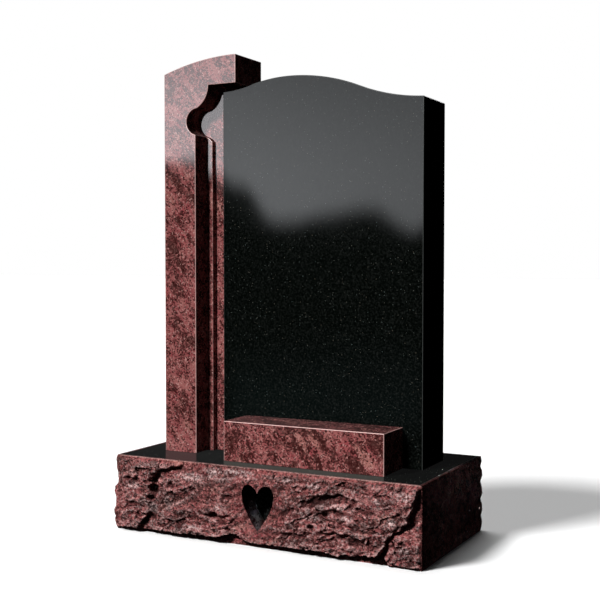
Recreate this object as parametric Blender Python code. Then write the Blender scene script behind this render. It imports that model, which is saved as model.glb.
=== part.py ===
"""Heart headstone.

A rock-pitched base block of red granite carries a black plate let into its top. On the plate stand a
polished black tablet with a serpentine top, a red side pillar whose arm reaches over the tablet's
shoulder, and a low red block at the tablet's foot. A heart is cut into the middle of the base's front
and has a black floor.

Metres, +Z up. The front faces -Y. The origin is the middle of the base's underside. Positions below are
measured from the base's front left bottom corner, X to the right and Y to the back.
"""

import math

import bmesh
import bpy
from mathutils import Matrix, Vector, noise

# Gap between stones that touch, and the width of the eased arris on polished edges
JOINT_GAP = 0.0003
ARRIS = 0.0012

# Base block, between its arrises
BASE_WIDTH = 0.700
BASE_DEPTH = 0.345
BASE_HEIGHT = 0.160

# How far the rock-pitched faces stand out beyond the arrises, and the size of their coarse facets
FRONT_BULGE = 0.013
LEFT_BULGE = 0.011
RIGHT_BULGE = 0.006
BACK_BULGE = 0.009
FACET = 0.0125
ARRIS_BAND = 0.005

# Plate let into the base's top, with a rim of the red stone around it
RIM_WIDTH = 0.006
PLATE_THICKNESS = 0.020

# Heart recess in the middle of the base's front
HEART_WIDTH = 0.073
HEART_HEIGHT = 0.094
HEART_CLEFT = 0.017
HEART_TIP_HEIGHT = 0.034
HEART_DEPTH = 0.040
HEART_INLAY_THICKNESS = 0.010

# Side pillar, seen from above: face, inner wall, cove, narrow ledge, step and wing
PILLAR_INSET_LEFT = 0.063
PILLAR_INSET_FRONT = 0.090
PILLAR_FACE_WIDTH = 0.080
PILLAR_DEPTH = 0.110
WING_SETBACK = 0.060
LEDGE_SETBACK = 0.046
LEDGE_WIDTH = 0.0145
COVE_RADIUS = 0.007
WING_WIDTH = 0.0247

# Pillar's arm over the tablet, and the long arc of its top
ARM_REACH = 0.0613
ARM_END_HEIGHT = 0.060
ARM_CLEARANCE = 0.0005
PILLAR_TOP_RADIUS = 0.560

# Cut-out under the arm: an ovolo, a ball below it and a fall onto the ledge
OVOLO_RADIUS = 0.053
OVOLO_SWEEP = 62.6
OVOLO_REACH = 0.0326
BALL_RADIUS = 0.0288
BALL_START = 94.0
BALL_END = 258.0
LEDGE_FALL = 0.012

# Tablet: its serpentine top is two S-curves of tangent arcs that leave the crown level
TABLET_INSET_FRONT = 0.140
TABLET_WIDTH = 0.4640
TABLET_THICKNESS = 0.120
TABLET_HEIGHT = 0.805
CROWN_FROM_LEFT = 0.1605
RIGHT_CROWN_RADIUS = 0.4345
RIGHT_HOLLOW_RADIUS = 0.4135
RIGHT_SWEEP = 22.3
LEFT_CROWN_RADIUS = 0.349
LEFT_HOLLOW_RADIUS = 0.263
LEFT_SWEEP = 15.6

# Low block at the tablet's foot
FOOT_WIDTH = 0.363
FOOT_DEPTH = 0.095
FOOT_HEIGHT = 0.083
FOOT_INSET_RIGHT = 0.0425

# Fineness of the curves
ARC_STEP = 8.0
TOP_STEP = 0.020

# Sizes that follow from the ones above
PLATE_TOP = BASE_HEIGHT
PILLAR_INNER = PILLAR_INSET_LEFT + PILLAR_FACE_WIDTH
LEDGE_EDGE = PILLAR_INNER + LEDGE_WIDTH
WING_EDGE = LEDGE_EDGE + WING_WIDTH
TABLET_LEFT = WING_EDGE + JOINT_GAP
TABLET_RIGHT = TABLET_LEFT + TABLET_WIDTH
ARM_END = WING_EDGE + ARM_REACH
STONE_BOTTOM = PLATE_TOP + JOINT_GAP
CROWN_X = TABLET_LEFT + CROWN_FROM_LEFT


def clear_scene():
    """Removes everything that a new file holds."""
    for item in list(bpy.data.objects):
        bpy.data.objects.remove(item, do_unlink=True)
    for group in list(bpy.data.collections):
        bpy.data.collections.remove(group)


def make_collection(name):
    group = bpy.data.collections.new(name)
    bpy.context.scene.collection.children.link(group)
    return group


def stone(name, colour, roughness):
    material = bpy.data.materials.new(name)
    material.use_nodes = True
    shader = material.node_tree.nodes["Principled BSDF"]
    shader.inputs["Base Color"].default_value = (*colour, 1.0)
    shader.inputs["Roughness"].default_value = roughness
    shader.inputs["Metallic"].default_value = 0.0
    return material


def arc(centre, radius, start, end):
    """Points on an arc between two angles in degrees, both ends included."""
    steps = max(2, round(abs(end - start) / ARC_STEP))
    angles = [math.radians(start + (end - start) * i / steps) for i in range(steps + 1)]
    return [Vector((centre[0] + radius * math.cos(a), centre[1] + radius * math.sin(a))) for a in angles]


def inset(points, distance):
    """Moves a closed outline that runs anticlockwise inwards by one distance."""
    moved = []
    for before, point, after in zip(points[-1:] + points[:-1], points, points[1:] + points[:1]):
        one = (point - before).normalized()
        two = (after - point).normalized()
        left = Vector((-one.y - two.y, one.x + two.x)).normalized()
        moved.append(point + left * distance / max(0.3, left.dot(Vector((-one.y, one.x)))))
    return moved


def slab(name, outline, thickness, upright, position, group):
    """A flat outline with a thickness, as a welded mesh. Upright outlines stand in the XZ plane."""
    curve = bpy.data.curves.new(name + "_outline", "CURVE")
    curve.dimensions = "2D"
    curve.fill_mode = "BOTH"
    curve.extrude = thickness / 2
    spline = curve.splines.new("POLY")
    spline.points.add(len(outline) - 1)
    for point, place in zip(spline.points, outline):
        point.co = (place[0], place[1], 0.0, 1.0)
    spline.use_cyclic_u = True
    drawn = bpy.data.objects.new(name + "_outline", curve)
    drawn.location = position
    if upright:
        drawn.rotation_euler = (math.radians(90), 0, 0)
    group.objects.link(drawn)
    bpy.context.view_layer.update()
    seen = drawn.evaluated_get(bpy.context.evaluated_depsgraph_get())
    mesh = bpy.data.meshes.new_from_object(seen)
    mesh.name = name
    place = drawn.matrix_world.copy()
    bpy.data.objects.remove(drawn, do_unlink=True)
    mesh.transform(place)
    work = bmesh.new()
    work.from_mesh(mesh)
    bmesh.ops.remove_doubles(work, verts=work.verts, dist=0.00001)
    bmesh.ops.dissolve_limit(work, angle_limit=0.001, verts=work.verts, edges=work.edges)
    bmesh.ops.recalc_face_normals(work, faces=work.faces)
    work.to_mesh(mesh)
    work.free()
    piece = bpy.data.objects.new(name, mesh)
    group.objects.link(piece)
    return piece


def box(name, low, high, group):
    """A cube primitive stretched between two corners."""
    work = bmesh.new()
    bmesh.ops.create_cube(work, size=1.0)
    size = Vector(high) - Vector(low)
    middle = (Vector(high) + Vector(low)) / 2
    bmesh.ops.transform(work, matrix=Matrix.LocRotScale(middle, None, size), verts=work.verts)
    mesh = bpy.data.meshes.new(name)
    work.to_mesh(mesh)
    work.free()
    piece = bpy.data.objects.new(name, mesh)
    group.objects.link(piece)
    return piece


def as_cutter(piece):
    piece.hide_render = True
    piece.display_type = "WIRE"
    return piece


def cut(piece, cutter):
    modifier = piece.modifiers.new(cutter.name, "BOOLEAN")
    modifier.operation = "DIFFERENCE"
    modifier.solver = "EXACT"
    modifier.object = cutter


def settle(piece):
    """Replaces a piece's mesh with its cut shape."""
    bpy.context.view_layer.update()
    seen = piece.evaluated_get(bpy.context.evaluated_depsgraph_get())
    mesh = bpy.data.meshes.new_from_object(seen)
    piece.modifiers.clear()
    piece.data = mesh
    mesh.name = piece.name


def ease_arrises(piece, width):
    """Breaks the outward edges of a polished stone with a narrow flat, all but those it stands on."""
    work = bmesh.new()
    work.from_mesh(piece.data)
    bmesh.ops.dissolve_limit(work, angle_limit=0.001, verts=work.verts, edges=work.edges)
    foot = min(vertex.co.z for vertex in work.verts) + 0.0001
    sharp = []
    for edge in work.edges:
        if len(edge.link_faces) != 2 or max(vertex.co.z for vertex in edge.verts) < foot:
            continue
        if edge.is_convex and edge.calc_face_angle() > math.radians(30):
            sharp.append(edge)
    bmesh.ops.bevel(work, geom=sharp, offset=width, segments=1, affect="EDGES", clamp_overlap=True)
    bmesh.ops.recalc_face_normals(work, faces=work.faces)
    work.to_mesh(piece.data)
    work.free()


def shade(piece):
    """Smooth curves with crisp arrises."""
    piece.data.shade_smooth()
    piece.data.set_sharp_from_angle(angle=math.radians(25))


# Rock-pitched faces. Places on a face are shares of the base's height, across and up, so that the
# facets keep their proportions. A relief of 1 is the full bulge and 0 is the plane of the arrises.
CHIP_LINE = [(0.0, 3.68), (0.15, 3.82), (0.29, 3.95), (0.39, 4.08), (0.52, 4.21), (0.69, 4.25), (1.0, 4.37)]
SPLIT_LINE = [(0.0, 0.12), (0.06, 0.24), (0.13, 0.40), (0.30, 0.54), (0.58, 0.59), (0.75, 0.63), (1.0, 0.95)]


def smooth(low, high, value):
    share = min(1.0, max(0.0, (value - low) / (high - low)))
    return share * share * (3 - 2 * share)


def along(line, height):
    """Place across the face of a line that is given by its places at rising heights."""
    for (h0, a0), (h1, a1) in zip(line, line[1:]):
        if height <= h1:
            return a0 + (a1 - a0) * max(0.0, height - h0) / (h1 - h0)
    return line[-1][1]


def facets(across, up, seed, size):
    """Flat broken facets: each cell of a Voronoi pattern is a plane with its own tilt."""
    _, corners = noise.voronoi(Vector((across / size, up / size, seed)))
    middle = corners[0]
    tilt = noise.noise_vector(middle * 3.7 + Vector((seed, 1.3, 2.9)))
    rest = Vector((across / size, up / size, seed)) - middle
    return tilt.z + 0.9 * (tilt.x * rest.x + tilt.y * rest.y)


def rough(across, up, seed):
    """Uneven swelling with broken facets over it, about -1 to 1."""
    swell = noise.noise(Vector((across * 1.1, up * 1.5, seed)))
    return 0.9 * swell + 0.45 * facets(across, up, seed, 0.33)


def front_relief(across, up):
    """The front: two big lumps parted by a split, an upward slope near the top, a chip at the right."""
    brink = FACET / BASE_HEIGHT
    open_slope = smooth(0.9, 1.3, across) * (1 - smooth(1.9, 2.4, across))
    top = 1 - smooth(0.0, 1.0, (up - (0.93 - 0.17 * open_slope)) / (0.07 + 0.17 * open_slope))
    bottom = smooth(0.0, 0.05 + 0.04 * smooth(1.9, 2.3, across), up)
    level = 0.62 + 0.22 * rough(across, up, 3.1)
    past_split = across - along(SPLIT_LINE, up)
    level += 0.22 * (1 - smooth(-brink, brink, past_split))
    level -= 0.30 * smooth(-brink, brink, past_split) * (1 - smooth(brink, 0.40, past_split))
    shelf = 0.34 + 0.45 * (across - 0.7) * (1 if across > 0.7 else 0)
    lower_lump = smooth(0.55, 0.75, across) * (1 - smooth(1.5, 2.0, across))
    level += 0.20 * lower_lump * (1 - smooth(shelf - brink, shelf + brink, up))
    heart_place = BASE_WIDTH / 2 / BASE_HEIGHT
    level -= 0.22 * (1 - smooth(0.2, 0.6, abs(across - heart_place)))
    past_chip = across - along(CHIP_LINE, up)
    level += 0.18 * smooth(-0.9, -0.1, past_chip)
    level -= 0.75 * smooth(-brink, brink, past_chip)
    return max(-0.25, level) * min(top, bottom)


def plain_relief(across, up, seed):
    """Back and sides: a low rough swelling between the arrises."""
    edges = smooth(0.0, 0.07, up) * smooth(0.0, 0.07, 1 - up)
    return (0.62 + 0.36 * rough(across, up, seed)) * edges


def grid_lines(length):
    """Places to cut a rough face: a narrow band at each arris and even facets between."""
    count = max(2, round((length - 2 * ARRIS_BAND) / FACET))
    step = (length - 2 * ARRIS_BAND) / count
    return [ARRIS_BAND + step * i for i in range(count + 1)]


def corner_fade(place, length, low, high):
    """How much of a face's relief is left towards its upright corners."""
    near = 0.030
    return min(low + (1 - low) * smooth(0.0, near, place), high + (1 - high) * smooth(0.0, near, length - place))


def roughen(place):
    """Moves a point of the plain block out to the rock-pitched surface."""
    x, y, z = place
    up = z / BASE_HEIGHT
    moved = Vector(place)
    if y < 0.00001:
        relief = front_relief(x / BASE_HEIGHT, up)
        moved.y -= FRONT_BULGE * relief * corner_fade(x, BASE_WIDTH, 0.45, 0.10)
    if y > BASE_DEPTH - 0.00001:
        relief = plain_relief(x / BASE_HEIGHT, up, 11.7)
        moved.y += BACK_BULGE * relief * corner_fade(x, BASE_WIDTH, 0.45, 0.45)
    if x < 0.00001:
        relief = plain_relief(y / BASE_HEIGHT, up, 23.3)
        moved.x -= LEFT_BULGE * relief * corner_fade(y, BASE_DEPTH, 0.60, 0.45)
    if x > BASE_WIDTH - 0.00001:
        relief = plain_relief(y / BASE_HEIGHT, up, 37.9)
        moved.x += RIGHT_BULGE * relief * corner_fade(y, BASE_DEPTH, 0.12, 0.60)
    return moved


def heart_outline():
    """Half a heart is two cubic curves, cleft to lobe's widest place and from there to the tip."""
    half = HEART_WIDTH / 2
    top = HEART_TIP_HEIGHT + HEART_HEIGHT
    cleft = Vector((0.0, top - HEART_CLEFT))
    wide = Vector((half, top - 0.24 * HEART_HEIGHT))
    tip = Vector((0.0, HEART_TIP_HEIGHT))
    upper = [cleft, Vector((0.22 * half, top + 0.045 * HEART_HEIGHT)),
             Vector((half, top + 0.075 * HEART_HEIGHT)), wide]
    lower = [wide, Vector((half, top - 0.50 * HEART_HEIGHT)),
             Vector((0.42 * half, HEART_TIP_HEIGHT + 0.20 * HEART_HEIGHT)), tip]
    right = []
    for ends, count in ((upper, 10), (lower, 9)):
        for i in range(count):
            t = i / count
            a, b, c, d = ends
            right.append(a * (1 - t) ** 3 + b * 3 * t * (1 - t) ** 2 + c * 3 * t * t * (1 - t) + d * t ** 3)
    right.append(tip)
    left = [Vector((-point.x, point.y)) for point in reversed(right[1:-1])]
    # Anticlockwise: down the left side to the tip and up the right side
    loop = right[:1] + list(reversed(left)) + [tip] + list(reversed(right[1:-1]))
    return [point + Vector((BASE_WIDTH / 2, 0.0)) for point in loop]


def make_base(group, cutters):
    """Base block: cut into a grid, roughened, then cut for the plate and the heart."""
    base = box("base_block", (0, 0, 0), (BASE_WIDTH, BASE_DEPTH, BASE_HEIGHT), group)
    work = bmesh.new()
    work.from_mesh(base.data)
    for axis, length in enumerate((BASE_WIDTH, BASE_DEPTH, BASE_HEIGHT)):
        normal = Vector((0, 0, 0))
        normal[axis] = 1.0
        for line in grid_lines(length):
            everything = work.verts[:] + work.edges[:] + work.faces[:]
            bmesh.ops.bisect_plane(work, geom=everything, plane_co=normal * line, plane_no=normal)
    for vertex in work.verts:
        vertex.co = roughen(vertex.co)
    flat = [face for face in work.faces if abs(face.normal.z) > 0.5 and all(
        vertex.co.z < 0.00001 or vertex.co.z > BASE_HEIGHT - 0.00001 for vertex in face.verts)]
    inner = [edge for edge in work.edges if all(face in flat for face in edge.link_faces)]
    bmesh.ops.dissolve_edges(work, edges=inner, use_verts=True)
    bmesh.ops.recalc_face_normals(work, faces=work.faces)
    work.to_mesh(base.data)
    work.free()
    rebate = box(
        "plate_rebate",
        (RIM_WIDTH, RIM_WIDTH, BASE_HEIGHT - PLATE_THICKNESS - JOINT_GAP),
        (BASE_WIDTH - RIM_WIDTH, BASE_DEPTH - RIM_WIDTH, BASE_HEIGHT + 0.01),
        cutters,
    )
    depth = HEART_DEPTH + HEART_INLAY_THICKNESS
    reach = 2 * FRONT_BULGE
    heart = slab("heart_recess", heart_outline(), depth + reach, True,
                 (0, (depth - reach) / 2, 0), cutters)
    cut(base, as_cutter(rebate))
    cut(base, as_cutter(heart))
    return base


def make_plate(group):
    edge = RIM_WIDTH + JOINT_GAP
    return box(
        "top_plate",
        (edge, edge, BASE_HEIGHT - PLATE_THICKNESS),
        (BASE_WIDTH - edge, BASE_DEPTH - edge, PLATE_TOP),
        group,
    )


def make_heart_inlay(group):
    outline = inset(heart_outline(), JOINT_GAP)
    thickness = HEART_INLAY_THICKNESS - JOINT_GAP
    return slab("heart_inlay", outline, thickness, True, (0, HEART_DEPTH + thickness / 2, 0), group)


def s_curve_drop(distance, crown_radius, hollow_radius, sweep):
    """How far a curve of two tangent arcs has fallen at a distance from its level crown."""
    turn = math.radians(sweep)
    change = crown_radius * math.sin(turn)
    end = change + hollow_radius * math.sin(turn)
    if distance < change:
        return crown_radius - math.sqrt(crown_radius ** 2 - distance ** 2)
    full = (crown_radius + hollow_radius) * (1 - math.cos(turn))
    if distance < end:
        return full - hollow_radius + math.sqrt(hollow_radius ** 2 - (end - distance) ** 2)
    return full


def tablet_top(x):
    """Height of the tablet's top at a place along the front."""
    crown = STONE_BOTTOM + TABLET_HEIGHT
    if x < CROWN_X:
        return crown - s_curve_drop(CROWN_X - x, LEFT_CROWN_RADIUS, LEFT_HOLLOW_RADIUS, LEFT_SWEEP)
    return crown - s_curve_drop(x - CROWN_X, RIGHT_CROWN_RADIUS, RIGHT_HOLLOW_RADIUS, RIGHT_SWEEP)


def make_tablet(group):
    count = max(8, round(TABLET_WIDTH / TOP_STEP))
    places = [TABLET_RIGHT - TABLET_WIDTH * i / count for i in range(count + 1)]
    outline = [Vector((TABLET_LEFT, STONE_BOTTOM)), Vector((TABLET_RIGHT, STONE_BOTTOM))]
    outline += [Vector((x, tablet_top(x))) for x in places]
    middle = TABLET_INSET_FRONT + TABLET_THICKNESS / 2
    tablet = slab("tablet", outline, TABLET_THICKNESS, True, (0, middle, 0), group)
    ease_arrises(tablet, ARRIS)
    shade(tablet)
    return tablet


def arm_underside():
    """The arm clears the highest place of the tablet's top beneath it."""
    places = [TABLET_LEFT + ARM_REACH * i / 12 for i in range(13)]
    return max(tablet_top(x) for x in places) + ARM_CLEARANCE


def make_pillar(group, cutters):
    """Side pillar: its outline with the arm, less the cut-out under the arm and the channel below it."""
    underside = arm_underside()
    arm_top = underside + ARM_END_HEIGHT
    far = PILLAR_TOP_RADIUS
    lean = math.degrees(math.asin((ARM_END - PILLAR_INSET_LEFT) / far))
    top = arc((ARM_END, arm_top - far), far, 90, 90 + lean)
    outline = [
        Vector((PILLAR_INSET_LEFT, STONE_BOTTOM)),
        Vector((WING_EDGE, STONE_BOTTOM)),
        Vector((WING_EDGE, underside)),
        Vector((ARM_END, underside)),
    ] + finer(top, TOP_STEP, (ARM_END, arm_top - far), far)
    middle = PILLAR_INSET_FRONT + PILLAR_DEPTH / 2
    pillar = slab("side_pillar", outline, PILLAR_DEPTH, True, (0, middle, 0), group)

    ovolo_centre = Vector((PILLAR_INNER + OVOLO_REACH - OVOLO_RADIUS, underside))
    ovolo = arc(ovolo_centre, OVOLO_RADIUS, 0, -OVOLO_SWEEP)
    start = math.radians(BALL_START)
    ball_centre = ovolo[-1] - BALL_RADIUS * Vector((math.cos(start), math.sin(start)))
    ball = arc(ball_centre, BALL_RADIUS, BALL_START, BALL_END)
    foot = ball[-1]
    fall = Vector((LEDGE_EDGE, foot.y - LEDGE_FALL))
    middle_fall = (foot + fall) / 2 + Vector((0.0, 0.12 * LEDGE_FALL))
    beyond = WING_EDGE + 2 * COVE_RADIUS
    opening_outline = ovolo + ball[1:] + [middle_fall, fall, Vector((beyond, fall.y)), Vector((beyond, underside))]
    clear = PILLAR_INSET_FRONT
    opening = slab("arm_cutout", opening_outline, clear + WING_SETBACK, True,
                   (0, (clear + WING_SETBACK) / 2, 0), cutters)

    cove = arc((PILLAR_INNER + COVE_RADIUS, PILLAR_INSET_FRONT + LEDGE_SETBACK - COVE_RADIUS),
               COVE_RADIUS, 180, 90)
    face = PILLAR_INSET_FRONT + WING_SETBACK
    channel_outline = [Vector((PILLAR_INNER, 0.0))] + cove + [
        Vector((LEDGE_EDGE, PILLAR_INSET_FRONT + LEDGE_SETBACK)),
        Vector((LEDGE_EDGE, face)),
        Vector((beyond, face)),
        Vector((beyond, 0.0)),
    ]
    reach = 2 * JOINT_GAP
    height = foot.y + BALL_RADIUS / 2 - PLATE_TOP + reach
    channel = slab("channel", channel_outline, height, False,
                   (0, 0, PLATE_TOP - reach + height / 2), cutters)
    cut(pillar, as_cutter(opening))
    cut(pillar, as_cutter(channel))
    settle(pillar)
    ease_arrises(pillar, ARRIS)
    shade(pillar)
    return pillar


def finer(points, step, centre, radius):
    """The same arc with its points no further apart than a step."""
    first = math.atan2(points[0].y - centre[1], points[0].x - centre[0])
    last = math.atan2(points[-1].y - centre[1], points[-1].x - centre[0])
    count = max(4, round(abs(last - first) * radius / step))
    angles = [first + (last - first) * i / count for i in range(count + 1)]
    return [Vector((centre[0] + radius * math.cos(a), centre[1] + radius * math.sin(a))) for a in angles]


def make_foot_block(group):
    right = TABLET_RIGHT - FOOT_INSET_RIGHT
    back = TABLET_INSET_FRONT - JOINT_GAP
    block = box(
        "foot_block",
        (right - FOOT_WIDTH, back - FOOT_DEPTH, STONE_BOTTOM),
        (right, back, STONE_BOTTOM + FOOT_HEIGHT),
        group,
    )
    ease_arrises(block, ARRIS)
    return block


def main():
    # A fixed seed, so that the stone breaks in the same way each time
    noise.seed_set(1796119613)
    clear_scene()
    stones = make_collection("heart_headstone")
    cutters = make_collection("cutters")
    corner = bpy.data.objects.new("front_left_corner", None)
    corner.location = (-BASE_WIDTH / 2, -BASE_DEPTH / 2, 0)
    stones.objects.link(corner)

    dressed = [
        (make_base(stones, cutters), stone("red_granite_pitched", (0.16, 0.055, 0.055), 0.85)),
        (make_plate(stones), stone("black_granite_plate", (0.012, 0.013, 0.013), 0.12)),
        (make_heart_inlay(stones), stone("black_granite_heart", (0.012, 0.013, 0.013), 0.12)),
        (make_pillar(stones, cutters), stone("red_granite_pillar", (0.17, 0.055, 0.055), 0.10)),
        (make_tablet(stones), stone("black_granite_tablet", (0.006, 0.007, 0.007), 0.05)),
        (make_foot_block(stones), stone("red_granite_foot", (0.17, 0.055, 0.055), 0.10)),
    ]
    for piece, material in dressed:
        piece.data.materials.clear()
        piece.data.materials.append(material)
        piece.parent = corner
    for cutter in cutters.objects:
        cutter.parent = corner
    bpy.context.view_layer.update()


main()
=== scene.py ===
# %% [markdown]
# # A headstone with a heart in its base
# The memorial is made of six stones: a base block with broken faces, a black plate let into its top, a black
# heart on the floor of a recess, a red side pillar with an arm, a black tablet and a low red block at its foot.
# The measured solids are opened first. Every stone below is then modelled again in the same place, finer, with
# rounded arrises and a broken face that catches the light, and stands in for the measured solid.

# %% Open the measured solids
import math

import bmesh
import bpy
import numpy as np
from mathutils import Matrix, Vector, noise


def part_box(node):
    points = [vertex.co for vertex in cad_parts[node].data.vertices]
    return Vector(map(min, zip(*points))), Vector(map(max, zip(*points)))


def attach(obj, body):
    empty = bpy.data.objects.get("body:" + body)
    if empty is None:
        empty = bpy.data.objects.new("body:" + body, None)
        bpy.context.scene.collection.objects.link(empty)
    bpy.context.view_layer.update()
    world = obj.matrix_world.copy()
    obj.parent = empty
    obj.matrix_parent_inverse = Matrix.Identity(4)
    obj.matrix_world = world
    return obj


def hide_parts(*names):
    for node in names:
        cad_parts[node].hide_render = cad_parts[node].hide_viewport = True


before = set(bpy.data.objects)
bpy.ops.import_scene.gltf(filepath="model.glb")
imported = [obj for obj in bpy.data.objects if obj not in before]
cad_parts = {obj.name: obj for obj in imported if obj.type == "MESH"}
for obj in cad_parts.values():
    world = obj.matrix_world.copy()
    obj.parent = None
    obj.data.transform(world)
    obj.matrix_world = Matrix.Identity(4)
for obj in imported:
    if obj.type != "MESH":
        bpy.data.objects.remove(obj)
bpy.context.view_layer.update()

print("stones:", sorted(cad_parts))

# %% [markdown]
# ## The camera
# The picture was taken from the front right, a little above half the height, with a long lens, so upright edges
# stay nearly parallel. Its place was found from the stones' own edges, and the numbers are kept here as they came out.

# %% Stand the camera where the picture was taken
bpy.ops.object.select_all(action="DESELECT")
bpy.ops.object.camera_add(location=(1.0629, -2.0131, 0.5758),
                          rotation=(math.radians(87.93), 0.0, math.radians(27.75)))
camera = bpy.context.object
camera.name = "camera"
camera.data.sensor_width = 36.0
camera.data.lens = 63.97
camera.data.clip_start = 0.05
camera.data.clip_end = 100.0
bpy.context.scene.camera = camera
print("camera is", round(camera.location.length, 2), "m from the origin")

# %% [markdown]
# ## Working one piece at a time
# An operator acts on everything that is selected. So each step begins with nothing selected, and then takes
# hold of one piece, as a mason turns one stone on the bench.

# %% Helpers to take hold of a piece


def take_hold(piece):
    """Selects one piece and nothing else."""
    if bpy.context.object and bpy.context.object.mode != "OBJECT":
        bpy.ops.object.mode_set(mode="OBJECT")
    bpy.ops.object.select_all(action="DESELECT")
    piece.select_set(True)
    bpy.context.view_layer.objects.active = piece


def settle_in_place(piece):
    """Puts the piece's place, turn and size into its mesh."""
    take_hold(piece)
    bpy.ops.object.transform_apply(location=True, rotation=True, scale=True)


def apply_modifier(piece, modifier):
    take_hold(piece)
    bpy.ops.object.modifier_apply(modifier=modifier.name)


def triangles(piece):
    return sum(len(face.vertices) - 2 for face in piece.data.polygons)


# %% [markdown]
# ## Sawing a slab to a template
# A mason lays a zinc template on a slab and saws along it. Here a filled disc is the slab's blank: the points of
# its rim are moved onto the template's points, and the face is extruded to the slab's thickness. The same helper
# cuts the tablet, the pillar, the heart and the shapes that are taken away from them.

# %% Saw a slab to a template


def saw_slab(name, template, near, far, upright=True):
    """A slab whose outline is the template. Upright: in X and Z, from y near to y far. Else in X and Y."""
    bpy.ops.object.select_all(action="DESELECT")
    bpy.ops.mesh.primitive_circle_add(vertices=len(template), radius=0.1, fill_type="NGON")
    piece = bpy.context.object
    piece.name = name
    piece.data.name = name
    for corner, place in zip(piece.data.vertices, template):
        corner.co = (place[0], near, place[1]) if upright else (place[0], place[1], near)
    push = (0.0, far - near, 0.0) if upright else (0.0, 0.0, far - near)
    bpy.ops.object.mode_set(mode="EDIT")
    bpy.ops.mesh.select_all(action="SELECT")
    bpy.ops.mesh.extrude_region_move(TRANSFORM_OT_translate={"value": push})
    bpy.ops.mesh.select_all(action="SELECT")
    bpy.ops.mesh.normals_make_consistent(inside=False)
    bpy.ops.object.mode_set(mode="OBJECT")
    depth = 1 if upright else 2
    for corner in piece.data.vertices:
        corner.co[depth] = near if abs(corner.co[depth] - near) < abs(corner.co[depth] - far) else far
    return piece


def arc(centre, radius, start, end, step=3.0):
    """Points on an arc between two angles in degrees."""
    count = max(2, round(abs(end - start) / step))
    angles = [math.radians(start + (end - start) * i / count) for i in range(count + 1)]
    return [(centre[0] + radius * math.cos(a), centre[1] + radius * math.sin(a)) for a in angles]


def block(name, low, high):
    """A cube primitive stretched between two corners."""
    bpy.ops.object.select_all(action="DESELECT")
    size = [b - a for a, b in zip(low, high)]
    middle = [(a + b) / 2 for a, b in zip(low, high)]
    bpy.ops.mesh.primitive_cube_add(size=1.0, location=middle, scale=size)
    piece = bpy.context.object
    piece.name = name
    piece.data.name = name
    settle_in_place(piece)
    return piece


def cut_away(piece, cutter):
    """Takes the cutter's shape out of the piece, and clears the cutter away."""
    modifier = piece.modifiers.new("cut", "BOOLEAN")
    modifier.operation = "DIFFERENCE"
    modifier.solver = "EXACT"
    modifier.object = cutter
    apply_modifier(piece, modifier)
    bpy.data.objects.remove(cutter, do_unlink=True)


# %% [markdown]
# ## Eased arrises
# A polished stone never leaves the yard with a knife edge: the arris is rubbed round with a diamond pad, a bit
# over a millimetre wide, and stays duller than the faces. It shows as a bright hairline. A bevel of three segments
# on the outward edges makes it, and the faces that the bevel leaves are marked, so the finish can treat them
# apart. Weighted normals keep the large faces dead flat in their reflections.

# %% Round the outward edges


def narrow(face, piece, width):
    """True for the strips that a bevel leaves, and not for the faces between them."""
    loop = [piece.data.vertices[i].co for i in face.vertices]
    round_it = sum((b - a).length for a, b in zip(loop, loop[1:] + loop[:1]))
    return face.area / (0.5 * round_it) < width


def mark_faces(piece, name, values):
    layer = piece.data.attributes.new(name, "FLOAT", "FACE")
    layer.data.foreach_set("value", np.array(values, dtype=np.float32))


def ease_arrises(piece, width, bed_too=False):
    """Rounds every outward edge but those that the piece stands on, and marks the new faces."""
    take_hold(piece)
    bpy.ops.object.mode_set(mode="EDIT")
    bpy.ops.mesh.select_mode(type="EDGE")
    bpy.ops.mesh.select_all(action="SELECT")
    bpy.ops.mesh.remove_doubles(threshold=0.00001)
    bpy.ops.mesh.dissolve_limited(angle_limit=0.001)
    bpy.ops.mesh.select_all(action="DESELECT")
    bpy.ops.mesh.edges_select_sharp(sharpness=math.radians(30))
    work = bmesh.from_edit_mesh(piece.data)
    bed = min(corner.co.z for corner in work.verts) + 0.0001
    for edge in work.edges:
        on_bed = max(corner.co.z for corner in edge.verts) < bed
        if edge.select and (not edge.is_convex or (on_bed and not bed_too)):
            edge.select_set(False)
    bmesh.update_edit_mesh(piece.data)
    bpy.ops.mesh.bevel(offset=width, segments=3, profile=0.5, affect="EDGES")
    bpy.ops.object.mode_set(mode="OBJECT")
    strips = [face.select and narrow(face, piece, width) for face in piece.data.polygons]
    mark_faces(piece, "arris", [1.0 if strip else 0.0 for strip in strips])
    bpy.ops.object.shade_smooth_by_angle(angle=math.radians(40))
    weigh = piece.modifiers.new("flat reflections", "WEIGHTED_NORMAL")
    weigh.keep_sharp = True
    weigh.weight = 100
    apply_modifier(piece, weigh)
    print(piece.name, "arris faces:", sum(strips), "triangles:", triangles(piece))


# %% [markdown]
# ## The tablet
# The tablet is one slab of black granite. Its serpentine top rises and falls in two S-curves, each made of two
# arcs that meet without a kink: one for the crown and one for the hollow beside it. Working out the drop at even
# steps along the top gives the template's upper edge.

# %% Saw the tablet
ARRIS_WIDTH = 0.0013
tablet_low, tablet_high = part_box("tablet")
CROWN_X = tablet_low.x + 0.1605


def drop_from_crown(distance, crown_radius, hollow_radius, sweep):
    turn = math.radians(sweep)
    change = crown_radius * math.sin(turn)
    end = change + hollow_radius * math.sin(turn)
    if distance < change:
        return crown_radius - math.sqrt(crown_radius ** 2 - distance ** 2)
    full = (crown_radius + hollow_radius) * (1 - math.cos(turn))
    if distance < end:
        return full - hollow_radius + math.sqrt(hollow_radius ** 2 - (end - distance) ** 2)
    return full


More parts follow.
